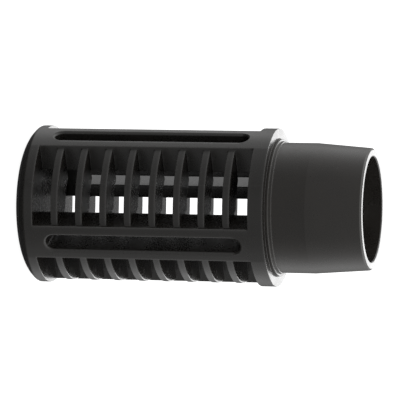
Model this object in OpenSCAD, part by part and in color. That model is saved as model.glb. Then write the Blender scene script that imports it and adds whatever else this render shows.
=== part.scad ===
// Foot valve for a suction pipe: a slotted strainer basket, closed at the
// bottom, under a pipe spigot that holds a spring-loaded poppet check valve.
// Upright on its flat base: +Z is the axis, the spigot points up, and the
// origin is the centre of the base. Four double rails lie on the X and Y axes.

/* [Strainer basket] */
// Diameter of the collar, the end ring and the rails
collar_d = 76.8; // [76:0.2:80]
// Diameter of the strainer rings
ring_d = 74; // [72:0.5:75]
// Bore of the cage
cage_bore_d = 44; // [42:0.5:46]
// Number of strainer rings
ring_count = 8; // [4:1:8]
// Distance from one ring to the next
ring_pitch = 12.07; // [11.5:0.01:12.1]
// Thickness of a ring at its outer edge
ring_t = 3.45; // [3:0.05:4]
// Height of the lowest ring's outer edge
first_ring_z = 18.95; // [18:0.05:20]
// Height of the underside of the collar
collar_z = 116; // [115:0.5:118]

/* [Rails] */
// Half width of a rail at its outer face
rail_half_w = 8.75; // [8:0.25:10]
// Half width of a rail at the cage bore
rail_inner_half_w = 7.5; // [7:0.25:8]
// Half width of the slot along a rail
slot_half_w = 3.9; // [3:0.1:4.4]
// Height of the slot's lower end
slot_z0 = 16; // [15.5:0.5:18]
// Height of the slot's upper end
slot_z1 = 111.6; // [110:0.2:113]

/* [End cap] */
// Height of the end ring's upper face
end_ring_z = 10.2; // [10:0.1:11]
// Radial width of the bevelled foot
bevel_w = 8.4; // [7:0.1:8.8]
// Height of the bevelled foot
bevel_h = 5.5; // [5:0.1:6]
// Height of the seam between the end cap and the basket
seam_z = 3.2; // [3:0.1:3.4]

/* [Spigot body] */
// Diameter of the pipe spigot
spigot_d = 63; // [62.8:0.1:63.2]
// Bore of the spigot
spigot_bore_d = 50.8; // [50.8:0.1:51]
// Overall height of the valve
total_h = 169.5; // [168:0.5:172]
// Height at which the spigot starts to taper
taper_z = 142.5; // [141:0.5:146]
// Diameter at the spigot's mouth
mouth_d = 59; // [58.5:0.5:60]

/* [Valve] */
// Bore of the valve seat
seat_bore_d = 33; // [30:0.5:33]
// Diameter of the poppet
poppet_d = 38; // [37.5:0.5:38]
// Diameter of the poppet stem
stem_d = 6; // [5.8:0.1:6]
// Travel of the poppet
lift = 8; // [6:0.5:8]
// Mean radius of the return spring
spring_r = 8.2; // [8.1:0.1:8.3]
// Wire diameter of the return spring
wire_d = 1; // [0.8:0.1:1]
// Turns of the return spring
spring_turns = 5; // [4:1:5]

/* [Hidden] */
$fn = 96;

eps = 0.01;
black_plastic = "#1d1d1c";
grey_plastic = "#3a3c3e";
acetal = "#e8e6df";
rubber = "#151515";
steel = "#b9bcc0";

rail_count = 4;
rail_step = 360 / rail_count;
collar_r = collar_d / 2;
ring_r = ring_d / 2;
cage_r = cage_bore_d / 2;
ring_draft = 0.2;
slot_bevel = 0.6;

// Collar and the joint with the spigot body
collar_top = collar_z + 7.4;
ledge_z = collar_z + 3.5;
collar_lip_r = 25.5;
socket_r = 33.5;
flange_r = socket_r - 0.1;

// End cap
foot_r = collar_r - bevel_w;
bevel_arc_r = 16.4;
cap_floor_z = end_ring_z - 2;
cap_plug_r = 31.9;
cap_socket_r = 32;
cap_recess_r = 21.4;
cap_recess_z = cap_floor_z - 3.2;
cap_rib_count = 8;
cap_rib_w = 1.8;
cap_hub_r = 6;

// Self-tapping screws
cap_screw_at_r = 26;
cap_screw_shank_r = 1.5;
cap_screw_pilot_r = 1.4;
cap_screw_head_r = 3;
cap_screw_z = [1.6, 4, 14];
collar_screw_at_r = 29;
collar_screw_shank_r = 1.3;
collar_screw_pilot_r = 1.2;
collar_screw_head_r = 2.4;
collar_screw_z = [collar_z + 0.3, collar_z + 1.9, collar_z + 10];
head_gap = 0.3;
hole_gap = 0.2;

// Spigot body
spigot_r = spigot_d / 2;
bore_r = spigot_bore_d / 2;
mouth_r = mouth_d / 2;
step_r = [33.2, 32.1];
step_z = [collar_top + 1.6, collar_top + 2.9];
ledge_bore_r = 21;
rim_chamfer = 0.9;
bore_chamfer = 0.5;

// Valve cartridge, from the seat upwards
cartridge_r = bore_r - 0.1;
seat_base_z = ledge_z + 2.5;
seat_top_z = seat_base_z + 5;
seat_z = seat_base_z + 7;
seat_r = seat_bore_d / 2;
seat_land_r = seat_r + 2;
o_ring_r = 0.88;
o_ring_z = seat_base_z + 2.5;
o_ring_groove_h = 2.2;
o_ring_groove_r = 23.6;
sleeve_wall = 1.3;
spider_z = seat_base_z + 27;
spider_h = 4.5;
spider_rim_r = 22.5;
spider_arm_count = 3;
spider_arm_w = 3.6;
hub_z = spider_z - 0.5;
hub_r = 7.2;
hub_flange_r = 10;
hub_flange_h = 2;
bush_r = 4.6;
bush_flange_r = 6.4;
bush_flange_h = 1;
bush_top_z = spider_z + spider_h + 1;
running_gap = 0.05;
circlip_t = 1.2;
circlip_z = spider_z + spider_h + 0.05;
circlip_in_r = 23.4;
circlip_out_r = 26.4;
circlip_groove_r = 26.5;
circlip_gap_angle = 26;
circlip_lug_r = 2.2;
circlip_hole_r = 0.9;

// Poppet
seal_t = 2;
seal_in_r = 7.5;
poppet_r = poppet_d / 2;
poppet_rim_w = 0.8;
poppet_z = seat_z + seal_t;
poppet_t = 3;
boss_top_z = hub_z - bush_flange_h - lift - 0.2;
boss_r = 6.3;
stem_r = stem_d / 2;
stem_top_z = 156;
stem_hole_r = 1.95;
retainer_r = 14;
retainer_t = 1.8;
washer_t = 0.6;
m4_r = 2;
m4_head_r = 3.8;
m4_head_h = 2.6;
m4_hex_r = 1.75;
m4_hex_depth = 1.6;
washer_z = poppet_z + poppet_t;

// Spring
cup_t = 0.6;
cup_r = 10;
cup_skirt_h = 2.4;
cup_top_z = hub_z;
spring_z0 = washer_z + washer_t;
spring_z1 = cup_top_z - cup_t;
spring_sides = 8;
spring_steps = 20;

// Points of an arc, from angle a to angle b, about the point c
function arc_points(c, r, a, b, n) =
  [for (i = [0:n]) let (t = a + (b - a) * i / n) c + r * [cos(t), sin(t)]];

// The crowned bevel between the foot and the end ring, from the foot upwards
bevel_mid = [foot_r + bevel_w / 2, bevel_h / 2];
bevel_chord = norm([bevel_w, bevel_h]);
bevel_in = [-bevel_h, bevel_w] / bevel_chord;
bevel_centre = bevel_mid + bevel_in * sqrt(pow(bevel_arc_r, 2) - pow(bevel_chord / 2, 2));
function bevel_angle(p) = atan2(p[1] - bevel_centre[1], p[0] - bevel_centre[0]);
function bevel_point(z) =
  [bevel_centre[0] + sqrt(pow(bevel_arc_r, 2) - pow(z - bevel_centre[1], 2)), z];
function bevel_arc(z0, z1) = arc_points(bevel_centre, bevel_arc_r,
  bevel_angle(bevel_point(z0)), bevel_angle(bevel_point(z1)), 6);

// A ring with a rectangular section
module tube(r_in, r_out, z0, z1) {
  translate([0, 0, z0])
    difference() {
      cylinder(r = r_out, h = z1 - z0);
      translate([0, 0, -1])
        cylinder(r = r_in, h = z1 - z0 + 2);
    }
}

// A vertical cylinder between two heights
module rod(r, z0, z1) {
  translate([0, 0, z0])
    cylinder(r = r, h = z1 - z0);
}

// Copies at equal angles round the axis
module around(count, first = 0) {
  for (i = [0:count - 1])
    rotate([0, 0, first + i * 360 / count])
      children();
}

module strainer_ring(z) {
  rotate_extrude()
    polygon([
      [cage_r, z - ring_draft],
      [ring_r, z],
      [ring_r, z + ring_t],
      [cage_r, z + ring_t + ring_draft]
    ]);
}

// One rail along +X: a wedge between the cage bore and the collar's diameter
module rail() {
  translate([0, 0, cap_floor_z + eps])
    linear_extrude(collar_z + 1 - cap_floor_z)
      intersection() {
        difference() {
          circle(r = collar_r);
          circle(r = cage_r);
        }
        polygon([
          [cage_r - 2, -rail_inner_half_w],
          [collar_r + 1, -rail_half_w],
          [collar_r + 1, rail_half_w],
          [cage_r - 2, rail_inner_half_w]
        ]);
      }
}

// A slot with round ends, cut radially from x0 outwards
module radial_slot(half_w, x0) {
  translate([x0, 0, 0])
    rotate([90, 0, 90])
      linear_extrude(collar_r)
        union() {
          translate([0, slot_z0 + slot_half_w])
            circle(r = half_w);
          translate([0, slot_z1 - slot_half_w])
            circle(r = half_w);
          translate([-half_w, slot_z0 + slot_half_w])
            square([2 * half_w, slot_z1 - slot_z0 - 2 * slot_half_w]);
        }
}

module end_ring() {
  rotate_extrude()
    polygon(concat(
      [[cap_socket_r, seam_z]],
      bevel_arc(seam_z, bevel_h),
      [[collar_r, end_ring_z], [cage_r, end_ring_z], [cage_r, cap_floor_z],
       [cap_socket_r, cap_floor_z]]
    ));
}

module collar() {
  difference() {
    rod(collar_r, collar_z, collar_top);
    rod(collar_lip_r, collar_z - 1, collar_top + 1);
    rod(socket_r, ledge_z, collar_top + 1);
    around(rail_count, rail_step / 2)
      translate([collar_screw_at_r, 0, 0]) {
        rod(collar_screw_shank_r + hole_gap, collar_z - 1, ledge_z + 1);
        rod(collar_screw_head_r + head_gap, collar_z - 1, collar_screw_z[1]);
      }
  }
}

module strainer_basket() {
  color(black_plastic)
    difference() {
      union() {
        end_ring();
        for (i = [0:ring_count - 1])
          strainer_ring(first_ring_z + i * ring_pitch);
        around(rail_count)
          rail();
        collar();
      }
      around(rail_count) {
        radial_slot(slot_half_w, 1);
        radial_slot(slot_half_w + slot_bevel, collar_r - 2 * slot_bevel);
        translate([cap_screw_at_r, 0, 0])
          rod(cap_screw_pilot_r, seam_z, cap_screw_z[2] + 0.5);
      }
    }
}

module end_cap() {
  color(black_plastic) {
    difference() {
      union() {
        rotate_extrude()
          polygon(concat(
            [[0, 0], [foot_r, 0]],
            bevel_arc(eps, seam_z),
            [[0, seam_z]]
          ));
        rod(cap_plug_r, seam_z - eps, cap_floor_z);
      }
      rod(cap_recess_r, -1, cap_recess_z);
      around(rail_count)
        translate([cap_screw_at_r, 0, 0]) {
          rod(cap_screw_shank_r + hole_gap, -1, cap_floor_z + 1);
          rod(cap_screw_head_r + head_gap, -1, cap_screw_z[1]);
        }
    }
    around(cap_rib_count, 180 / cap_rib_count)
      translate([cap_hub_r - 1, -cap_rib_w / 2, 0.5])
        cube([cap_recess_r - cap_hub_r + 1.5, cap_rib_w, cap_recess_z]);
    rod(cap_hub_r, 0.5, cap_recess_z + 0.5);
  }
}

// Pan-head self-tapping screw, head down; z is head bottom, head top and tip
module tapping_screw(head_r, shank_r, z) {
  difference() {
    union() {
      rod(head_r, z[0], z[1]);
      rod(shank_r, z[1] - eps, z[2] - shank_r);
      translate([0, 0, z[2] - shank_r - eps])
        cylinder(r1 = shank_r, r2 = 0.3, h = shank_r);
    }
    around(2)
      translate([-head_r * 0.6, -head_r * 0.12, z[0] - 1])
        cube([head_r * 1.2, head_r * 0.24, 1 + (z[1] - z[0]) * 0.6]);
    rotate([0, 0, 90])
      translate([-head_r * 0.6, -head_r * 0.12, z[0] - 1])
        cube([head_r * 1.2, head_r * 0.24, 1 + (z[1] - z[0]) * 0.6]);
  }
}

module cap_screws() {
  color(steel)
    around(rail_count)
      translate([cap_screw_at_r, 0, 0])
        tapping_screw(cap_screw_head_r, cap_screw_shank_r, cap_screw_z);
}

module collar_screws() {
  color(steel)
    around(rail_count, rail_step / 2)
      translate([collar_screw_at_r, 0, 0])
        tapping_screw(collar_screw_head_r, collar_screw_shank_r, collar_screw_z);
}

module spigot_body() {
  color(black_plastic)
    difference() {
      rotate_extrude()
        polygon([
          [ledge_bore_r, ledge_z],
          [flange_r, ledge_z],
          [flange_r, collar_top],
          [step_r[0], collar_top],
          [step_r[0], step_z[0]],
          [step_r[1], step_z[0]],
          [step_r[1], step_z[1]],
          [spigot_r, step_z[1]],
          [spigot_r, taper_z],
          [mouth_r, total_h - rim_chamfer],
          [mouth_r - rim_chamfer, total_h],
          [bore_r + bore_chamfer, total_h],
          [bore_r, total_h - bore_chamfer],
          [bore_r, seat_base_z],
          [ledge_bore_r, seat_base_z]
        ]);
      rod(circlip_groove_r, circlip_z - 0.05, circlip_z + circlip_t + 0.05);
      around(rail_count, rail_step / 2)
        translate([collar_screw_at_r, 0, 0])
          rod(collar_screw_pilot_r, ledge_z - 1, collar_screw_z[2] + 0.5);
    }
}

module seat_ring() {
  color(grey_plastic)
    rotate_extrude()
      polygon([
        [seat_r + 1.5, seat_base_z],
        [cartridge_r, seat_base_z],
        [cartridge_r, o_ring_z - o_ring_groove_h / 2],
        [o_ring_groove_r, o_ring_z - o_ring_groove_h / 2],
        [o_ring_groove_r, o_ring_z + o_ring_groove_h / 2],
        [cartridge_r, o_ring_z + o_ring_groove_h / 2],
        [cartridge_r, seat_top_z],
        [seat_land_r + 1.2, seat_top_z],
        [seat_land_r, seat_z],
        [seat_r, seat_z],
        [seat_r, seat_base_z + 1.5]
      ]);
}

module seat_o_ring() {
  color(rubber)
    rotate_extrude()
      translate([o_ring_groove_r + o_ring_r + 0.02, o_ring_z])
        circle(r = o_ring_r, $fn = 32);
}

module spacer_sleeve() {
  color(grey_plastic)
    tube(cartridge_r - sleeve_wall, cartridge_r, seat_top_z, spider_z);
}

module guide_spider() {
  color(grey_plastic)
    difference() {
      union() {
        tube(spider_rim_r, cartridge_r, spider_z, spider_z + spider_h);
        around(spider_arm_count)
          translate([0, -spider_arm_w / 2, spider_z + 0.5])
            cube([spider_rim_r + 1, spider_arm_w, spider_h - 1]);
        rod(hub_r, hub_z, spider_z + spider_h);
        rod(hub_flange_r, hub_z, hub_z + hub_flange_h);
      }
      rod(bush_r, hub_z - 1, spider_z + spider_h + 1);
    }
}

module guide_bush() {
  color(acetal)
    difference() {
      union() {
        rod(bush_flange_r, hub_z - bush_flange_h, hub_z);
        rod(bush_r - 0.02, hub_z - eps, bush_top_z);
      }
      rod(stem_r + running_gap, hub_z - bush_flange_h - 1, bush_top_z + 1);
    }
}

module spring_cup() {
  color(steel) {
    tube(bush_flange_r + 0.2, cup_r, cup_top_z - cup_t, cup_top_z);
    tube(cup_r - cup_t, cup_r, cup_top_z - cup_t - cup_skirt_h, cup_top_z - cup_t + eps);
  }
}

module circlip() {
  lug_angle = circlip_gap_angle / 2 + 4;
  lug_at_r = circlip_in_r - 0.4;
  color(steel)
    difference() {
      union() {
        difference() {
          tube(circlip_in_r, circlip_out_r, circlip_z, circlip_z + circlip_t);
          translate([0, 0, circlip_z - 1])
            linear_extrude(circlip_t + 2)
              polygon([
                [0, 0],
                2 * circlip_out_r * [cos(circlip_gap_angle / 2), -sin(circlip_gap_angle / 2)],
                2 * circlip_out_r * [cos(circlip_gap_angle / 2), sin(circlip_gap_angle / 2)]
              ]);
        }
        for (side = [-1, 1])
          rotate([0, 0, side * lug_angle])
            translate([lug_at_r, 0, 0])
              rod(circlip_lug_r, circlip_z, circlip_z + circlip_t);
      }
      for (side = [-1, 1])
        rotate([0, 0, side * lug_angle])
          translate([lug_at_r, 0, 0])
            rod(circlip_hole_r, circlip_z - 1, circlip_z + circlip_t + 1);
    }
}

// Round wire wound as a helix; each end of the wire lies on its seat
module return_spring() {
  wire_r = wire_d / 2;
  count = spring_turns * spring_steps;
  rise = spring_z1 - spring_z0 - wire_d - 2 * eps;
  points = [
    for (i = [0:count], j = [0:spring_sides - 1])
      let (
        a = i * 360 / spring_steps,
        b = (j + 0.5) * 360 / spring_sides,
        r = spring_r + wire_r * cos(b)
      )
      [r * cos(a), r * sin(a), spring_z0 + eps + wire_r + rise * i / count + wire_r * sin(b)]
  ];
  side_faces = [
    for (i = [0:count - 1], j = [0:spring_sides - 1])
      let (
        k = (j + 1) % spring_sides,
        low = i * spring_sides,
        high = low + spring_sides
      )
      [low + j, low + k, high + k, high + j]
  ];
  first_face = [for (j = [0:spring_sides - 1]) spring_sides - 1 - j];
  last_face = [for (j = [0:spring_sides - 1]) count * spring_sides + j];
  color(steel)
    polyhedron(points, concat([first_face], side_faces, [last_face]));
}

module poppet_disc() {
  color(grey_plastic)
    difference() {
      union() {
        rod(poppet_r, poppet_z - seal_t + 0.6, poppet_z + poppet_t - 1);
        translate([0, 0, poppet_z + poppet_t - 1 - eps])
          cylinder(r1 = poppet_r, r2 = poppet_r - 1, h = 1 + eps);
        rod(boss_r, poppet_z, boss_top_z);
      }
      rod(poppet_r - poppet_rim_w, poppet_z - seal_t, poppet_z);
      rod(stem_r - 0.02, poppet_z - 1, boss_top_z + 1);
    }
}

module poppet_seal() {
  color(rubber)
    tube(seal_in_r, poppet_r - poppet_rim_w - 0.1, seat_z + eps, poppet_z);
}

module seal_retainer() {
  color(steel)
    difference() {
      union() {
        rod(seal_in_r - 0.1, seat_z, poppet_z);
        rod(retainer_r, seat_z - retainer_t, seat_z + eps);
      }
      rod(m4_r + hole_gap, seat_z - retainer_t - 1, seat_z + 1);
      rod(stem_r + running_gap, seat_z, poppet_z + 1);
    }
}

module lock_washer() {
  color(steel)
    tube(m4_r + hole_gap, m4_head_r + 0.4, seat_z - retainer_t - washer_t, seat_z - retainer_t);
}

module retainer_screw() {
  head_top = seat_z - retainer_t - washer_t;
  color(steel)
    difference() {
      union() {
        rod(m4_head_r, head_top - m4_head_h, head_top);
        rod(m4_r, head_top - eps, poppet_z + poppet_t + 1);
      }
      translate([0, 0, head_top - m4_head_h - 1])
        cylinder(r = m4_hex_r, h = m4_hex_depth + 1, $fn = 6);
    }
}

module poppet_stem() {
  color(steel)
    difference() {
      union() {
        rod(stem_r, seat_z + eps, stem_top_z - 0.6);
        translate([0, 0, stem_top_z - 0.6 - eps])
          cylinder(r1 = stem_r, r2 = stem_r - 0.6, h = 0.6 + eps);
      }
      rod(stem_hole_r, seat_z - 1, poppet_z + poppet_t + 2);
    }
}

module spring_washer() {
  color(steel)
    tube(boss_r + 0.2, cup_r - 0.2, washer_z, washer_z + washer_t);
}

strainer_basket();
end_cap();
cap_screws();
spigot_body();
collar_screws();
seat_ring();
seat_o_ring();
spacer_sleeve();
guide_spider();
guide_bush();
spring_cup();
circlip();
return_spring();
poppet_disc();
poppet_seal();
seal_retainer();
lock_washer();
retainer_screw();
poppet_stem();
spring_washer();
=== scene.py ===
import math

import bmesh
import bpy
import numpy as np
from mathutils import Matrix, Vector


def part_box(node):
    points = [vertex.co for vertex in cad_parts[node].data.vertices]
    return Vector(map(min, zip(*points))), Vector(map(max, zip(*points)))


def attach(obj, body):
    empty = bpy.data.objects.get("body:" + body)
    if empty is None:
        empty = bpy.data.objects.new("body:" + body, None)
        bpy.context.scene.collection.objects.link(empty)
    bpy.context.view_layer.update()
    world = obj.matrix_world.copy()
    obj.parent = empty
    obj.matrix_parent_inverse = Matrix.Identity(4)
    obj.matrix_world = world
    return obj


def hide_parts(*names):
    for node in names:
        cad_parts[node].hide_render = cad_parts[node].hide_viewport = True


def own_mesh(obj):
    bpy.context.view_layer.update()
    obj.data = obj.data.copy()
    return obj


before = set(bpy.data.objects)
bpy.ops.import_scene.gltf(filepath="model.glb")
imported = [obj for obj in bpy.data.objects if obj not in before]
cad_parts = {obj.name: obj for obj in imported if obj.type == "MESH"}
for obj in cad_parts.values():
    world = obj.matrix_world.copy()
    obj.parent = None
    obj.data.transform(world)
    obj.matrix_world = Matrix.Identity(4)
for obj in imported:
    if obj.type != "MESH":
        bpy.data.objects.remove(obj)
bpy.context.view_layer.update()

MM = 0.001
RAILS = 4
RAIL_STEP = 2 * math.pi / RAILS

# ---------------------------------------------------------------------------
# Sizes in millimetres. What the frame can say is read from its boxes.
# ---------------------------------------------------------------------------


def low(node, axis=2):
    """The lower bound of a CAD node's box along an axis, in millimetres."""
    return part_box(node)[0][axis] / MM


def high(node, axis=2):
    """The upper bound of a CAD node's box along an axis, in millimetres."""
    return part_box(node)[1][axis] / MM


COLLAR_R = high("strainer_basket", 0)
COLLAR_H = 7.4
SEAM_Z = low("strainer_basket")
COLLAR_TOP = high("strainer_basket")
COLLAR_Z = COLLAR_TOP - COLLAR_H
LEDGE_Z = low("spigot_body")
SOCKET_GAP = 0.1
SOCKET_R = high("spigot_body", 0) + SOCKET_GAP
TOTAL_H = high("spigot_body")
CAGE_R = 22.0
RING_R = 37.0
RING_COUNT = 8
RING_PITCH = 12.07
RING_T = 3.45
FIRST_RING_Z = 18.95
RING_DRAFT = 0.2
RAIL_INNER_X = 24.2
RAIL_INNER_HALF_W = 9.5
RAIL_HALF_W = 8.75
SLOT_INNER_HALF_W = 2.6
SLOT_HALF_W = 3.75
SLOT_Z = (16.0, 111.6)
END_RING_Z = 10.2
CAP_FLOOR_Z = high("end_cap")
CAP_SOCKET_R = 32.0
BEVEL_W = 8.4
BEVEL_H = 5.5
BEVEL_ARC_R = 16.4
LINE_RIDGE = 0.1
LINE_RIDGE_HALF_W = 0.22
COLLAR_SCREW_AT_R = 29.0
COLLAR_SCREW_HEAD_H = 1.6
CIRCLIP_GAP = 0.05
SEAT_BASE_Z = low("seat_ring")

# ---------------------------------------------------------------------------
# Mesh helpers
# ---------------------------------------------------------------------------

SAME_POINT = 1e-7
SLIVER = 2e-6


def turned_by(x, y, z, angle):
    """The point (x, y, z) turned about the Z axis."""
    c, s = math.cos(angle), math.sin(angle)
    return (x * c - y * s, x * s + y * c, z)


def mesh_object(name, points_mm, faces, sharp_deg=40):
    """A smooth-shaded object from points in millimetres; edges over sharp_deg stay sharp."""
    mesh = bpy.data.meshes.new(name)
    mesh.from_pydata([tuple(c * MM for c in p) for p in points_mm], [], faces)
    mesh.validate()
    mesh.update()
    obj = bpy.data.objects.new(name, mesh)
    bpy.context.scene.collection.objects.link(obj)
    finish_shading(obj, sharp_deg)
    return obj


def finish_shading(obj, sharp_deg):
    mesh = obj.data
    mesh.shade_smooth()
    mesh.set_sharp_from_angle(angle=math.radians(sharp_deg))


def stand_for(obj, node, body):
    """obj takes the place of a CAD node, on its body."""
    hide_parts(node)
    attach(obj, body)
    return obj


def bake_modifiers(obj):
    """Replaces the object's mesh with the one that its modifiers make."""
    bpy.context.view_layer.update()
    made = bpy.data.meshes.new_from_object(
        obj.evaluated_get(bpy.context.evaluated_depsgraph_get())
    )
    obj.modifiers.clear()
    obj.data = made


def weigh_normals(obj):
    modifier = obj.modifiers.new("flat faces stay flat", "WEIGHTED_NORMAL")
    modifier.keep_sharp = True
    modifier.weight = 80


def rounded(corners, steps=4):
    """A closed outline of (r, z) points from corners (r, z, fillet radius)."""
    outline = []
    count = len(corners)
    for i, (r, z, fillet) in enumerate(corners):
        here = Vector((r, z))
        before = Vector(corners[i - 1][:2]) - here
        after = Vector(corners[(i + 1) % count][:2]) - here
        if fillet == 0:
            outline.append(tuple(here))
            continue
        half = before.angle(after) / 2
        reach = fillet / math.tan(half)
        assert reach < min(before.length, after.length), (r, z)
        middle = (before.normalized() + after.normalized()).normalized()
        centre = here + middle * fillet / math.sin(half)
        start = here + before.normalized() * reach - centre
        turn = start.angle_signed(here + after.normalized() * reach - centre)
        for k in range(steps + 1):
            arm = start.copy()
            arm.rotate(Matrix.Rotation(-turn * k / steps, 2))
            outline.append(tuple(centre + arm))
    return outline


def lathe(name, outline, steps=144, sharp_deg=40):
    """A closed outline of (r, z) points turned about the Z axis."""
    points, faces = [], []
    for i in range(steps):
        a = 2 * math.pi * i / steps
        points += [(r * math.cos(a), r * math.sin(a), z) for r, z in outline]
    n = len(outline)
    for i in range(steps):
        here, there = i * n, (i + 1) % steps * n
        for j in range(n):
            k = (j + 1) % n
            if outline[j][0] > 0 or outline[k][0] > 0:
                faces.append((here + j, here + k, there + k, there + j))
    obj = mesh_object(name, points, faces, sharp_deg)
    tidy_mesh(obj)
    return obj


def tidy_mesh(obj):
    """Merges points that lie together and turns all faces outwards."""
    bm = bmesh.new()
    bm.from_mesh(obj.data)
    bmesh.ops.remove_doubles(bm, verts=bm.verts, dist=SAME_POINT)
    bmesh.ops.recalc_face_normals(bm, faces=bm.faces)
    bm.to_mesh(obj.data)
    bm.free()


# ---------------------------------------------------------------------------
# Strainer basket: the boundary of a polar grid of cells, smoothed by
# subdivision, with support lines beside each edge so that it stays crisp
# ---------------------------------------------------------------------------

EDGE = 0.55
WINDOW_PARTS = 8
CORNER_R = math.hypot(RAIL_INNER_X, RAIL_INNER_HALF_W)


def bevel_radius(z):
    """Outer radius of the crowned bevel at the basket's lower end."""
    foot_r = COLLAR_R - BEVEL_W
    chord = math.hypot(BEVEL_W, BEVEL_H)
    inward = np.array([-BEVEL_H, BEVEL_W]) / chord
    middle = np.array([foot_r + BEVEL_W / 2, BEVEL_H / 2])
    centre = middle + inward * math.sqrt(BEVEL_ARC_R**2 - (chord / 2) ** 2)
    return min(COLLAR_R, centre[0] + math.sqrt(BEVEL_ARC_R**2 - (z - centre[1]) ** 2))


def with_supports(features, between=()):
    """Sorted grid lines: each feature with a support line on either side."""
    lines = set(between)
    for f in features:
        lines.update((round(f - EDGE, 4), round(f, 4), round(f + EDGE, 4)))
    return sorted(lines)


def ring_heights():
    return [FIRST_RING_Z + k * RING_PITCH for k in range(RING_COUNT)]


def basket_lines():
    """The grid's radii, its heights, and its columns in one quarter turn."""
    r_lines = with_supports(
        [CAGE_R, CORNER_R, CAP_SOCKET_R, SOCKET_R, RING_R], [COLLAR_SCREW_AT_R, 37.95, COLLAR_R]
    )
    r_lines = [r for r in r_lines if CAGE_R <= r <= COLLAR_R]
    edges = [CAP_FLOOR_Z, END_RING_Z, COLLAR_Z, LEDGE_Z]
    for z in ring_heights():
        edges += [z, z + RING_T]
    ends = [SEAM_Z, SEAM_Z + EDGE, 4.4, BEVEL_H - 0.3, BEVEL_H + 0.2, 6.6]
    ends += [COLLAR_TOP - EDGE, COLLAR_TOP, (LEDGE_Z + COLLAR_TOP) / 2]
    z_lines = [z for z in with_supports(edges, ends) if SEAM_Z <= z <= COLLAR_TOP]
    support_u = EDGE / RAIL_HALF_W
    rail = [-1, -1 + support_u, -0.45, 0, 0.45, 1 - support_u]
    window_mm = COLLAR_R * (RAIL_STEP - 2 * math.asin(RAIL_HALF_W / COLLAR_R))
    support_v = EDGE / window_mm
    ridge = LINE_RIDGE_HALF_W / window_mm
    window = [i / WINDOW_PARTS for i in range(WINDOW_PARTS)]
    window += [support_v, 1 - support_v, 0.5 - ridge, 0.5 + ridge]
    around = [("rail", u) for u in rail] + [("window", v) for v in sorted(window)]
    return r_lines, z_lines, around


def rail_half_width(r):
    """Half width of a rail where its flank crosses radius r."""
    share = (r - CORNER_R) / (COLLAR_R - CORNER_R)
    return RAIL_INNER_HALF_W + max(0.0, share) * (RAIL_HALF_W - RAIL_INNER_HALF_W)


def grid_point(r, z, quadrant, kind, t):
    """Where the grid lines r, z and (kind, t) meet, in millimetres."""
    if r > CAP_SOCKET_R + EDGE:
        outer = bevel_radius(z) if z < BEVEL_H else COLLAR_R
        floor = CAP_SOCKET_R + EDGE
        r = floor + (r - floor) * (outer - floor) / (COLLAR_R - floor)
    half_w = rail_half_width(r)
    flank = math.asin(half_w / r)
    if kind == "window":
        angle = flank + (RAIL_STEP - 2 * flank) * t
        if t == 0.5 and r > RING_R - 0.01 and z > END_RING_Z - 3:
            r += LINE_RIDGE
        x, y = r * math.cos(angle), r * math.sin(angle)
    else:
        y = half_w * t
        flat_x = math.sqrt(r * r - half_w * half_w)
        flatness = 0.0
        if END_RING_Z < z < COLLAR_Z:
            share = (r - CORNER_R) / (COLLAR_R - CORNER_R)
            flatness = 1 - max(0.0, min(1.0, share))
        x = math.sqrt(r * r - y * y) * (1 - flatness) + flat_x * flatness
    for k, ring_z in enumerate(ring_heights()):
        lean = RING_DRAFT * (RING_R - min(r, RING_R)) / (RING_R - CAGE_R)
        if abs(z - ring_z) < EDGE + 0.01:
            z -= lean
            break
        if abs(z - ring_z - RING_T) < EDGE + 0.01:
            z += lean
            break
    return turned_by(x, y, z, quadrant * RAIL_STEP)


def cell_is_solid(r, z, kind):
    """Whether the basket fills the cell whose centre is at r and z."""
    if z < CAP_FLOOR_Z:
        return r > CAP_SOCKET_R
    if z < END_RING_Z:
        return True
    if z > LEDGE_Z:
        return r > SOCKET_R
    if z > COLLAR_Z:
        return r > CORNER_R
    if kind == "rail":
        return r > CORNER_R
    in_ring = any(k < z < k + RING_T for k in ring_heights())
    return in_ring and r < RING_R


def build_basket():
    r_lines, z_lines, around = basket_lines()
    columns = [(q, kind, t) for q in range(RAILS) for kind, t in around]
    nr, nz, na = len(r_lines), len(z_lines), len(columns)
    solid = np.zeros((nr + 1, nz + 1, na), bool)
    for i in range(nr - 1):
        for k in range(nz - 1):
            r = (r_lines[i] + r_lines[i + 1]) / 2
            z = (z_lines[k] + z_lines[k + 1]) / 2
            row = {kind: cell_is_solid(r, z, kind) for kind in ("rail", "window")}
            for j, column in enumerate(columns):
                solid[i + 1, k + 1, j] = row[column[1]]
    index, points, faces = {}, [], []

    def corner(i, k, j):
        key = (i, k, j % na)
        if key not in index:
            index[key] = len(points)
            points.append(grid_point(r_lines[i], z_lines[k], *columns[j % na]))
        return index[key]

    def wall(here, there, quad):
        """Adds the face between two cells when only one of them is solid."""
        if here != there:
            faces.append([corner(*c) for c in (quad if here else quad[::-1])][::-1])

    for i in range(nr):
        for k in range(nz):
            for j in range(na):
                here = solid[i + 1, k + 1, j]
                a, b, c, d = (i, k, j), (i, k, j + 1), (i, k + 1, j), (i + 1, k, j)
                if k < nz - 1:
                    wall(here, solid[i, k + 1, j], [a, b, (i, k + 1, j + 1), c])
                if i < nr - 1:
                    wall(here, solid[i + 1, k, j], [a, d, (i + 1, k, j + 1), b])
                if i < nr - 1 and k < nz - 1:
                    wall(here, solid[i + 1, k + 1, j - 1], [a, c, (i + 1, k + 1, j), d])
    basket = mesh_object("strainer_basket_shell", points, faces)
    tidy_mesh(basket)
    smooth = basket.modifiers.new("smooth", "SUBSURF")
    smooth.levels = smooth.render_levels = 1
    bake_modifiers(basket)
    return basket


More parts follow.
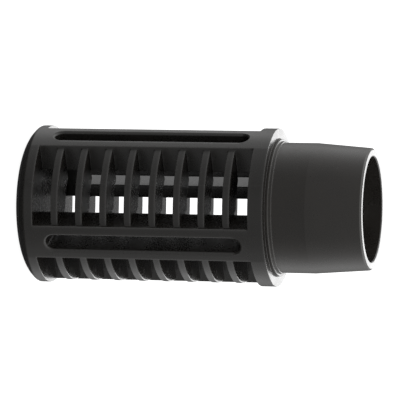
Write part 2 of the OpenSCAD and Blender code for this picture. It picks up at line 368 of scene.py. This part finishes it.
def tunnels(name, sections, angles):
    """One solid per angle, skinned over outlines that have the same number of points."""
    points, faces = [], []
    for angle in angles:
        first = len(points)
        n = len(sections[0])
        for outline in sections:
            points += [turned_by(*p, angle) for p in outline]
        for s in range(len(sections) - 1):
            a, b = first + s * n, first + (s + 1) * n
            faces += [(a + j, a + (j + 1) % n, b + (j + 1) % n, b + j) for j in range(n)]
        last = first + (len(sections) - 1) * n
        faces.append(tuple(first + j for j in reversed(range(n))))
        faces.append(tuple(last + j for j in range(n)))
    cutter = mesh_object(name, points, faces)
    tidy_mesh(cutter)
    return cutter


def slot_cutter():
    """The four slots, with a rounded rim where each leaves the rail."""
    rim, inner_rim = 1.5, 0.4
    reach = COLLAR_R - RAIL_INNER_X
    draft = (SLOT_HALF_W - SLOT_INNER_HALF_W) / reach

    def half_w(x):
        return SLOT_INNER_HALF_W + draft * (x - RAIL_INNER_X)

    turns = [math.radians(a) for a in (0, 22.5, 45, 67.5, 90)]
    widths = [(RAIL_INNER_X - 2, half_w(RAIL_INNER_X) + inner_rim)]
    for a in turns:
        x = RAIL_INNER_X + inner_rim * (1 - math.cos(a))
        widths.append((x, half_w(x) + inner_rim * (1 - math.sin(a))))
    for a in turns:
        x = COLLAR_R - rim * (1 - math.sin(a))
        widths.append((x, half_w(x) + rim * (1 - math.cos(a))))
    widths.append((COLLAR_R + 1, widths[-1][1]))
    arc = 16
    ends = ((SLOT_Z[1] - SLOT_HALF_W, 0), (SLOT_Z[0] + SLOT_HALF_W, math.pi))
    sections = []
    for x, h in widths:
        roundness = max(0.0, min(1.0, (x - RAIL_INNER_X) / reach))
        outline = []
        for z, turn in ends:
            for n in range(arc + 1):
                a = turn + math.pi * n / arc
                y = h * math.cos(a)
                sunk = x - roundness * (x - math.sqrt(x * x - y * y))
                outline.append((sunk, y, z + h * math.sin(a)))
        sections.append(outline)
    return tunnels("slot_cutter", sections, [q * RAIL_STEP for q in range(RAILS)])


def screw_hole_cutter():
    """Counterbored holes through the collar's lip, between the rails."""
    head_r, shank_r, steps = 2.7, 1.5, 32
    head_top = LEDGE_Z - COLLAR_SCREW_HEAD_H
    sections = []
    for r, z in (
        (head_r, COLLAR_Z - 1), (head_r, head_top), (shank_r, head_top), (shank_r, LEDGE_Z + 1),
    ):
        turns = [2 * math.pi * n / steps for n in range(steps)]
        sections.append([(COLLAR_SCREW_AT_R + r * math.cos(t), r * math.sin(t), z) for t in turns])
    return tunnels("screw_hole_cutter", sections, [(q + 0.5) * RAIL_STEP for q in range(RAILS)])


def cut(obj, *cutters):
    """Cuts the cutters out of obj, removes them and closes up the slivers that are left."""
    for cutter in cutters:
        modifier = obj.modifiers.new("cut", "BOOLEAN")
        modifier.operation = "DIFFERENCE"
        modifier.solver = "MANIFOLD"
        modifier.object = cutter
    bake_modifiers(obj)
    for cutter in cutters:
        bpy.data.objects.remove(cutter)
    bm = bmesh.new()
    bm.from_mesh(obj.data)
    bmesh.ops.remove_doubles(bm, verts=bm.verts, dist=SLIVER)
    bmesh.ops.dissolve_degenerate(bm, edges=bm.edges, dist=SLIVER)
    bm.to_mesh(obj.data)
    bm.free()


basket = build_basket()
cut(basket, slot_cutter(), screw_hole_cutter())
finish_shading(basket, 32)
weigh_normals(basket)
stand_for(basket, "strainer_basket", "valve_body")

# ---------------------------------------------------------------------------
# Spigot body
# ---------------------------------------------------------------------------

spigot = lathe(
    "spigot_body_shell",
    rounded(
        [
            (21.0, LEDGE_Z, 0.3),
            (SOCKET_R - SOCKET_GAP, LEDGE_Z, 0.3),
            (SOCKET_R - SOCKET_GAP, COLLAR_TOP - 0.2, 0),
            (33.2, COLLAR_TOP, 0),
            (33.2, COLLAR_TOP + 1.6, 0.45),
            (32.1, COLLAR_TOP + 1.6, 0.2),
            (32.1, COLLAR_TOP + 2.9, 0.35),
            (31.5, COLLAR_TOP + 2.9, 0.2),
            (31.5, 142.5, 6),
            (29.5, TOTAL_H - 0.9, 0.4),
            (28.6, TOTAL_H, 0.35),
            (25.9, TOTAL_H, 0.2),
            (25.4, TOTAL_H - 0.5, 0.2),
            (25.4, high("circlip") + CIRCLIP_GAP, 0.1),
            (26.5, high("circlip") + CIRCLIP_GAP, 0),
            (26.5, low("circlip") - CIRCLIP_GAP, 0),
            (25.4, low("circlip") - CIRCLIP_GAP, 0.1),
            (25.4, SEAT_BASE_Z, 0),
            (21.0, SEAT_BASE_Z, 0.3),
        ]
    ),
    steps=192,
)
weigh_normals(spigot)
stand_for(spigot, "spigot_body", "valve_body")

# ---------------------------------------------------------------------------
# Valve inside the spigot: turned and moulded rings with rounded edges
# ---------------------------------------------------------------------------


def turned(node, body, corners, steps=128):
    """A lathed piece, from corners (r, z, fillet radius), that stands for a CAD node."""
    obj = lathe(node + "_turned", rounded(corners, 3), steps)
    weigh_normals(obj)
    return stand_for(obj, node, body)


BORE_FIT_R = high("spacer_sleeve", 0)
SEAT_TOP_Z = SEAT_BASE_Z + 5
SEAT_Z = high("seat_ring")
SLEEVE_TOP_Z = high("spacer_sleeve")
STEM_TOP_Z = high("poppet_stem")
BUSH_Z = (low("guide_bush"), low("guide_bush") + 1, high("guide_bush"))
CUP_Z = (low("spring_cup"), high("spring_cup"))
DISC_Z = (low("poppet_disc"), low("poppet_disc") + 1.4, high("poppet_disc"))
SPRING_Z = (high("spring_washer"), CUP_Z[1] - 0.6)

seat_ring = turned(
    "seat_ring", "valve_body",
    [
        (18.0, SEAT_BASE_Z, 0.3),
        (BORE_FIT_R, SEAT_BASE_Z, 0.3),
        (BORE_FIT_R, SEAT_BASE_Z + 1.4, 0.15),
        (23.6, SEAT_BASE_Z + 1.4, 0.1),
        (23.6, SEAT_BASE_Z + 3.6, 0.1),
        (BORE_FIT_R, SEAT_BASE_Z + 3.6, 0.15),
        (BORE_FIT_R, SEAT_TOP_Z, 0.2),
        (19.7, SEAT_TOP_Z, 0.4),
        (18.5, SEAT_Z, 0.3),
        (16.5, SEAT_Z, 0.3),
        (16.5, SEAT_BASE_Z + 1.5, 0.3),
    ],
)
seat_o_ring = turned(
    "seat_o_ring", "valve_body",
    [
        (24.5 + 0.88 * math.cos(a), SEAT_BASE_Z + 2.5 + 0.88 * math.sin(a), 0)
        for a in (2 * math.pi * n / 24 for n in range(24))
    ],
)
spacer_sleeve = turned(
    "spacer_sleeve", "valve_body",
    [
        (BORE_FIT_R - 1.3, SEAT_TOP_Z, 0.2),
        (BORE_FIT_R, SEAT_TOP_Z, 0.2),
        (BORE_FIT_R, SLEEVE_TOP_Z, 0.2),
        (BORE_FIT_R - 1.3, SLEEVE_TOP_Z, 0.2),
    ],
)
guide_bush = turned(
    "guide_bush", "valve_body",
    [
        (3.05, BUSH_Z[0], 0.25),
        (6.4, BUSH_Z[0], 0.25),
        (6.4, BUSH_Z[1], 0.15),
        (4.58, BUSH_Z[1], 0),
        (4.58, BUSH_Z[2], 0.35),
        (3.05, BUSH_Z[2], 0.3),
    ],
)
spring_cup = turned(
    "spring_cup", "valve_body",
    [
        (6.6, CUP_Z[1] - 0.6, 0.1),
        (9.4, CUP_Z[1] - 0.6, 0.2),
        (9.4, CUP_Z[0], 0.1),
        (10.0, CUP_Z[0], 0.1),
        (10.0, CUP_Z[1], 0.6),
        (6.6, CUP_Z[1], 0.1),
    ],
)
poppet_disc = turned(
    "poppet_disc", "poppet",
    [
        (2.98, DISC_Z[1], 0),
        (18.2, DISC_Z[1], 0),
        (18.2, DISC_Z[0], 0.2),
        (19.0, DISC_Z[0], 0.2),
        (19.0, DISC_Z[1] + 2, 0.4),
        (18.0, DISC_Z[1] + 3, 0.4),
        (6.3, DISC_Z[1] + 3, 0.2),
        (6.3, DISC_Z[2], 0.5),
        (2.98, DISC_Z[2], 0.3),
    ],
)
poppet_seal = turned(
    "poppet_seal", "poppet",
    [
        (7.5, low("poppet_seal"), 0.1),
        (18.1, low("poppet_seal"), 0.5),
        (18.1, high("poppet_seal"), 0.1),
        (7.5, high("poppet_seal"), 0.1),
    ],
)
seal_retainer = turned(
    "seal_retainer", "poppet",
    [
        (2.2, SEAT_Z - 1.8, 0.2),
        (14.0, SEAT_Z - 1.8, 0.5),
        (14.0, SEAT_Z, 0.2),
        (7.4, SEAT_Z, 0),
        (7.4, high("seal_retainer"), 0.2),
        (3.05, high("seal_retainer"), 0.1),
        (3.05, SEAT_Z, 0),
        (2.2, SEAT_Z, 0),
    ],
)
lock_washer = turned(
    "lock_washer", "poppet",
    [
        (2.2, low("lock_washer"), 0.1),
        (4.2, low("lock_washer"), 0.15),
        (4.2, high("lock_washer"), 0.15),
        (2.2, high("lock_washer"), 0.1),
    ],
    steps=64,
)
poppet_stem = turned(
    "poppet_stem", "poppet",
    [
        (1.95, SEAT_Z, 0),
        (3.0, SEAT_Z, 0),
        (3.0, STEM_TOP_Z - 0.6, 0.3),
        (2.4, STEM_TOP_Z, 0.2),
        (0, STEM_TOP_Z, 0),
        (0, SEAT_Z + 7, 0),
        (1.95, SEAT_Z + 7, 0),
    ],
    steps=64,
)
spring_washer = turned(
    "spring_washer", "poppet",
    [
        (6.5, low("spring_washer"), 0.1),
        (9.8, low("spring_washer"), 0.15),
        (9.8, high("spring_washer"), 0.15),
        (6.5, high("spring_washer"), 0.1),
    ],
)


def wound_spring(mean_r=8.2, wire_r=0.5, turns=5, closed=0.7, steps=56, sides=14):
    """Round wire wound between its seats, with a closed turn at either end."""
    count = turns * steps
    t = np.linspace(0, turns, count + 1)
    opening = np.clip((np.minimum(t, turns - t) - closed) / 0.4, 0, 1)
    closed_pitch = 2 * wire_r + 0.03
    rise = SPRING_Z[1] - SPRING_Z[0] - 2 * wire_r - 0.02
    middle_share = opening[:-1].sum() / steps
    middle_pitch = (rise - closed_pitch * turns) / middle_share
    slope = closed_pitch + middle_pitch * opening[:-1]
    height = np.concatenate([[0], np.cumsum(slope) / steps])
    points, faces = [], []
    for i in range(count + 1):
        a = 2 * math.pi * i / steps
        for j in range(sides):
            b = 2 * math.pi * j / sides
            r = mean_r + wire_r * math.cos(b)
            z = SPRING_Z[0] + 0.01 + wire_r + height[i] + wire_r * math.sin(b)
            points.append((r * math.cos(a), r * math.sin(a), z))
    for i in range(count):
        for j in range(sides):
            k = (j + 1) % sides
            here, there = i * sides, (i + 1) * sides
            faces.append((here + j, here + k, there + k, there + j))
    faces.append(tuple(range(sides)))
    faces.append(tuple(count * sides + j for j in reversed(range(sides))))
    spring = mesh_object("return_spring_wound", points, faces)
    tidy_mesh(spring)
    stand_for(spring, "return_spring", "valve_body")
    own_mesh(spring)
    return spring


return_spring = wound_spring()

for node, width in (
    ("end_cap", 0.35), ("guide_spider", 0.25), ("cap_screws", 0.12),
    ("collar_screws", 0.12), ("retainer_screw", 0.12),
):
    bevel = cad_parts[node].modifiers.new("rounded edges", "BEVEL")
    bevel.width = width * MM
    bevel.segments = 2
    bevel.limit_method = "ANGLE"
    bevel.angle_limit = math.radians(35)

# ---------------------------------------------------------------------------
# Camera, floor and light
# ---------------------------------------------------------------------------

CAMERA_AZIMUTH = -29.72
CAMERA_ELEVATION = 13.08
CAMERA_ROLL = -1.025
CAMERA_DISTANCE = 1.996
AIM_Z = 0.0842
AIM_ASIDE = 0.003
LENS = 369.9

facing = Vector(
    (math.sin(math.radians(CAMERA_AZIMUTH)), -math.cos(math.radians(CAMERA_AZIMUTH)), 0)
)
up_in_picture = Vector((facing.y, -facing.x, 0))
elevation = math.radians(CAMERA_ELEVATION)
back = facing * math.cos(elevation) + Vector((0, 0, math.sin(elevation)))
along = Vector((0, 0, math.cos(elevation))) - facing * math.sin(elevation)
roll = math.radians(CAMERA_ROLL)
right = (along * math.cos(roll) - up_in_picture * math.sin(roll)).normalized()
up = back.cross(right)
camera_data = bpy.data.cameras.new("camera")
camera_data.lens = LENS
camera_data.sensor_width = 36
camera = bpy.data.objects.new("camera", camera_data)
bpy.context.scene.collection.objects.link(camera)
aim = Vector((0, 0, AIM_Z)) + up_in_picture * AIM_ASIDE
camera.matrix_world = Matrix.Translation(aim + back * CAMERA_DISTANCE) @ Matrix(
    (right, up, back)
).transposed().to_4x4()
bpy.context.scene.camera = camera

scene = bpy.context.scene
scene.view_settings.view_transform = "Standard"


class Nodes:
    """A small helper that makes and joins the nodes of one tree."""

    def __init__(self, owner):
        owner.use_nodes = True
        self.tree = owner.node_tree
        self.tree.nodes.clear()

    def add(self, kind, inputs=(), **settings):
        node = self.tree.nodes.new("ShaderNode" + kind)
        for key, value in settings.items():
            setattr(node, key, value)
        for key, value in dict(inputs).items():
            if isinstance(value, bpy.types.NodeSocket):
                self.tree.links.new(value, node.inputs[key])
            else:
                node.inputs[key].default_value = value
        return node

    def ramp(self, fac, stops):
        """A colour ramp of (position, grey) stops."""
        node = self.add("ValToRGB", {"Fac": fac})
        elements = node.color_ramp.elements
        while len(elements) < len(stops):
            elements.new(0.5)
        for element, (position, grey) in zip(elements, stops):
            element.position = position
            element.color = (grey, grey, grey, 1)
        return node.outputs["Color"]

    def math(self, operation, a, b=0.0):
        return self.add("Math", {0: a, 1: b}, operation=operation).outputs[0]


# Level of the surroundings from straight behind the object (0) to the camera's side (1)
LIGHT_BY_ANGLE = [
    (0.0, 0.06), (0.06, 0.2), (0.16, 0.5), (0.28, 0.56), (0.5, 0.38), (0.75, 0.26), (1.0, 0.255)
]


def studio_world():
    """White surroundings: brightest behind the object, dim on the camera's side and below."""
    world = bpy.data.worlds.new("studio")
    scene.world = world
    t = Nodes(world)
    direction = t.add("TexCoord").outputs["Generated"]
    toward = t.add("VectorMath", {0: direction, 1: tuple(facing)}, operation="DOT_PRODUCT")
    share = t.add("MapRange", {0: toward.outputs["Value"], 1: -1.0, 2: 1.0}).outputs[0]
    level = t.ramp(share, LIGHT_BY_ANGLE)
    height = t.add("SeparateXYZ", {0: direction}).outputs["Z"]
    below = t.add("MapRange", {0: height, 1: -0.55, 2: -0.25, 3: 0.06, 4: 1.0}).outputs[0]
    softbox_at = (Vector((0, 0, math.tan(math.radians(24)))) - facing).normalized()
    nearness = t.add("VectorMath", {0: direction, 1: tuple(softbox_at)}, operation="DOT_PRODUCT")
    softbox = t.add(
        "MapRange", {0: nearness.outputs["Value"], 1: 0.9, 2: 0.98, 3: 0.0, 4: 3.6}
    ).outputs[0]
    above = t.add("MapRange", {0: height, 1: 0.3, 2: 0.85, 3: 1.0, 4: 1.9}).outputs[0]
    tall = t.math("MULTIPLY", below, above)
    light = t.math("MULTIPLY", t.math("MULTIPLY", level, tall), 2.2)
    strength = t.math("ADD", light, softbox)
    seen = t.add("LightPath").outputs["Is Camera Ray"]
    shown = t.add("Mix", {0: seen, 2: strength, 3: 1.0}, data_type="FLOAT").outputs[0]
    background = t.add("Background", {"Strength": shown, "Color": (1, 1, 1, 1)})
    t.add("OutputWorld", {"Surface": background.outputs[0]})


def studio_card(half_width=0.017, z_range=(0.015, 0.15), distance=0.09, strength=0.3):
    """A dim card behind the cage, out of the camera's sight, that flags the softbox."""
    middle = -facing * distance
    across = up_in_picture * half_width
    corners = [
        middle - across + Vector((0, 0, z_range[0])),
        middle + across + Vector((0, 0, z_range[0])),
        middle + across + Vector((0, 0, z_range[1])),
        middle - across + Vector((0, 0, z_range[1])),
    ]
    mesh = bpy.data.meshes.new("card")
    mesh.from_pydata([tuple(c) for c in corners], [], [(0, 1, 2, 3)])
    card = bpy.data.objects.new("card", mesh)
    scene.collection.objects.link(card)
    material = bpy.data.materials.new("card")
    t = Nodes(material)
    glow = t.add("Emission", {"Color": (1, 1, 1, 1), "Strength": strength})
    t.add("OutputMaterial", {"Surface": glow.outputs[0]})
    mesh.materials.append(material)
    card.visible_camera = False
    card.visible_shadow = False


def studio_floor():
    """A pale floor just under the base, clear from below so that the base can be seen."""
    reach = 6
    mesh = bpy.data.meshes.new("floor")
    corners = [(-1, -1), (1, -1), (1, 1), (-1, 1)]
    mesh.from_pydata([(reach * x, reach * y, -0.1 * MM) for x, y in corners], [], [(0, 1, 2, 3)])
    floor = bpy.data.objects.new("floor", mesh)
    scene.collection.objects.link(floor)
    material = bpy.data.materials.new("floor")
    t = Nodes(material)
    diffuse = t.add("BsdfDiffuse", {"Color": (0.25, 0.25, 0.25, 1)})
    glow = t.add("Emission", {"Color": (1, 1, 1, 1), "Strength": 0.96})
    both = t.add("AddShader", {0: diffuse.outputs[0], 1: glow.outputs[0]})
    clear = t.add("BsdfTransparent")
    underside = t.add("NewGeometry").outputs["Backfacing"]
    seen = t.add("MixShader", {0: underside, 1: both.outputs[0], 2: clear.outputs[0]})
    t.add("OutputMaterial", {"Surface": seen.outputs[0]})
    mesh.materials.append(material)
    floor.visible_glossy = False
    floor.visible_diffuse = False


studio_world()
studio_floor()
studio_card()

# ---------------------------------------------------------------------------
# Materials
# ---------------------------------------------------------------------------


def principled(t, **inputs):
    shader = t.add("BsdfPrincipled", inputs)
    t.add("OutputMaterial", {"Surface": shader.outputs[0]})
    return shader


def noise(t, where, scale, detail=2.0, **inputs):
    return t.add(
        "TexNoise", {"Vector": where, "Scale": scale, "Detail": detail, **inputs}
    ).outputs["Fac"]


def moulded_plastic(name, grey, warmth, roughness, grain=0.25, specks=0.03, worn_and_highlit_grey=0.09):
    """Moulded black plastic: satin skin with fine grain, flow marks, lighter edges that are partly
    rubbed wear and partly a painted highlight, and dust.
    """
    material = bpy.data.materials.new(name)
    t = Nodes(material)
    where = t.add("TexCoord").outputs["Object"]
    flow = noise(t, where, 70, 4.0, Distortion=0.6)
    fine = noise(t, where, 3000, 2.0)
    middle = noise(t, where, 600, 3.0)
    # Pointiness picks out the convex edges, which are lightened as rubbed wear and as a painted
    # highlight on the rounded edges
    edges = t.ramp(t.add("NewGeometry").outputs["Pointiness"], [(0.5, 0.0), (0.56, 1.0)])
    dust = t.ramp(noise(t, where, 900, 1.0), [(0.74, 0.0), (0.77, 1.0)])
    tone = t.ramp(flow, [(0.3, grey * 0.82), (0.7, grey * 1.18)])
    tinted = t.add(
        "Mix", {0: 1.0, 6: tone, 7: (1.0 + warmth, 1.0, 1.0 - warmth, 1)},
        data_type="RGBA", blend_type="MULTIPLY",
    ).outputs[2]
    # Painted highlight and rubbed wear: the convex edges are mixed towards a lighter grey
    worn_and_highlit = t.add(
        "Mix",
        {0: t.math("MULTIPLY", edges, 0.6), 6: tinted,
         7: (worn_and_highlit_grey, worn_and_highlit_grey * 0.98, worn_and_highlit_grey * 0.95, 1)},
        data_type="RGBA",
    ).outputs[2]
    dusty = t.add(
        "Mix", {0: t.math("MULTIPLY", dust, specks), 6: worn_and_highlit, 7: (0.5, 0.49, 0.47, 1)},
        data_type="RGBA",
    ).outputs[2]
    rough = t.add(
        "MapRange", {0: t.math("ADD", flow, t.math("MULTIPLY", middle, 0.6)), 1: 0.4, 2: 1.2,
                     3: roughness - 0.06, 4: roughness + 0.08},
    ).outputs[0]
    relief = t.math("ADD", t.math("MULTIPLY", fine, 0.6), t.math("MULTIPLY", middle, 0.3))
    bump = t.add("Bump", {"Strength": grain, "Distance": 0.00006, "Height": relief})
    principled(t, **{"Base Color": dusty, "Roughness": rough, "Normal": bump.outputs[0]})
    return material


def steel(name, grey, roughness, lines):
    """Stainless steel with fine turning or drawing lines and dull patches from handling."""
    material = bpy.data.materials.new(name)
    t = Nodes(material)
    where = t.add("TexCoord").outputs["Object"]
    axis = t.add("SeparateXYZ", {0: where})
    radius = t.math(
        "SQRT",
        t.math(
            "ADD",
            t.math("POWER", axis.outputs["X"], 2.0),
            t.math("POWER", axis.outputs["Y"], 2.0),
        ),
    )
    turned_at = t.add("CombineXYZ", {"X": radius, "Z": axis.outputs["Z"]}).outputs[0]
    grooves = noise(t, turned_at, lines, 3.0)
    patches = noise(t, where, 150, 4.0, Distortion=0.8)
    tone = t.ramp(patches, [(0.3, grey * 0.85), (0.65, grey * 1.1)])
    tinted = t.add(
        "Mix", {0: 1.0, 6: tone, 7: (1.0, 0.985, 0.96, 1)},
        data_type="RGBA", blend_type="MULTIPLY",
    ).outputs[2]
    rough = t.add(
        "MapRange", {0: t.math("ADD", grooves, patches), 1: 0.6, 2: 1.4,
                     3: roughness - 0.07, 4: roughness + 0.12},
    ).outputs[0]
    bump = t.add("Bump", {"Strength": 0.25, "Distance": 0.00003, "Height": grooves})
    principled(
        t,
        **{"Base Color": tinted, "Metallic": 1.0, "Roughness": rough, "Normal": bump.outputs[0]},
    )
    return material


def set_material(obj, material):
    obj.data.materials.clear()
    obj.data.materials.append(material)


# The last grey of each finish colours its convex edges: rubbed wear and a painted highlight
basket_plastic = moulded_plastic("basket_plastic", 0.009, 0.14, 0.27)
spigot_plastic = moulded_plastic("spigot_plastic", 0.011, 0.22, 0.27, grain=0.15)
valve_plastic = moulded_plastic("valve_plastic", 0.047, -0.02, 0.4)
bush_plastic = moulded_plastic("bush_plastic", 0.7, 0.05, 0.3, grain=0.1, worn_and_highlit_grey=0.8)
seal_rubber = moulded_plastic("seal_rubber", 0.02, 0.0, 0.62, grain=0.5, specks=0.12)
stainless = steel("stainless", 0.56, 0.3, 9000)
spring_steel = steel("spring_steel", 0.5, 0.27, 4000)

for finish, parts in (
    (basket_plastic, (basket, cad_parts["end_cap"])),
    (spigot_plastic, (spigot,)),
    (valve_plastic, (seat_ring, spacer_sleeve, poppet_disc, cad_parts["guide_spider"])),
    (bush_plastic, (guide_bush,)),
    (seal_rubber, (seat_o_ring, poppet_seal)),
    (stainless, (spring_cup, seal_retainer, lock_washer, poppet_stem, spring_washer)),
    (stainless, [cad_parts[n] for n in ("cap_screws", "collar_screws", "retainer_screw")]),
    (spring_steel, (return_spring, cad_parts["circlip"])),
):
    for part in parts:
        set_material(part, finish)
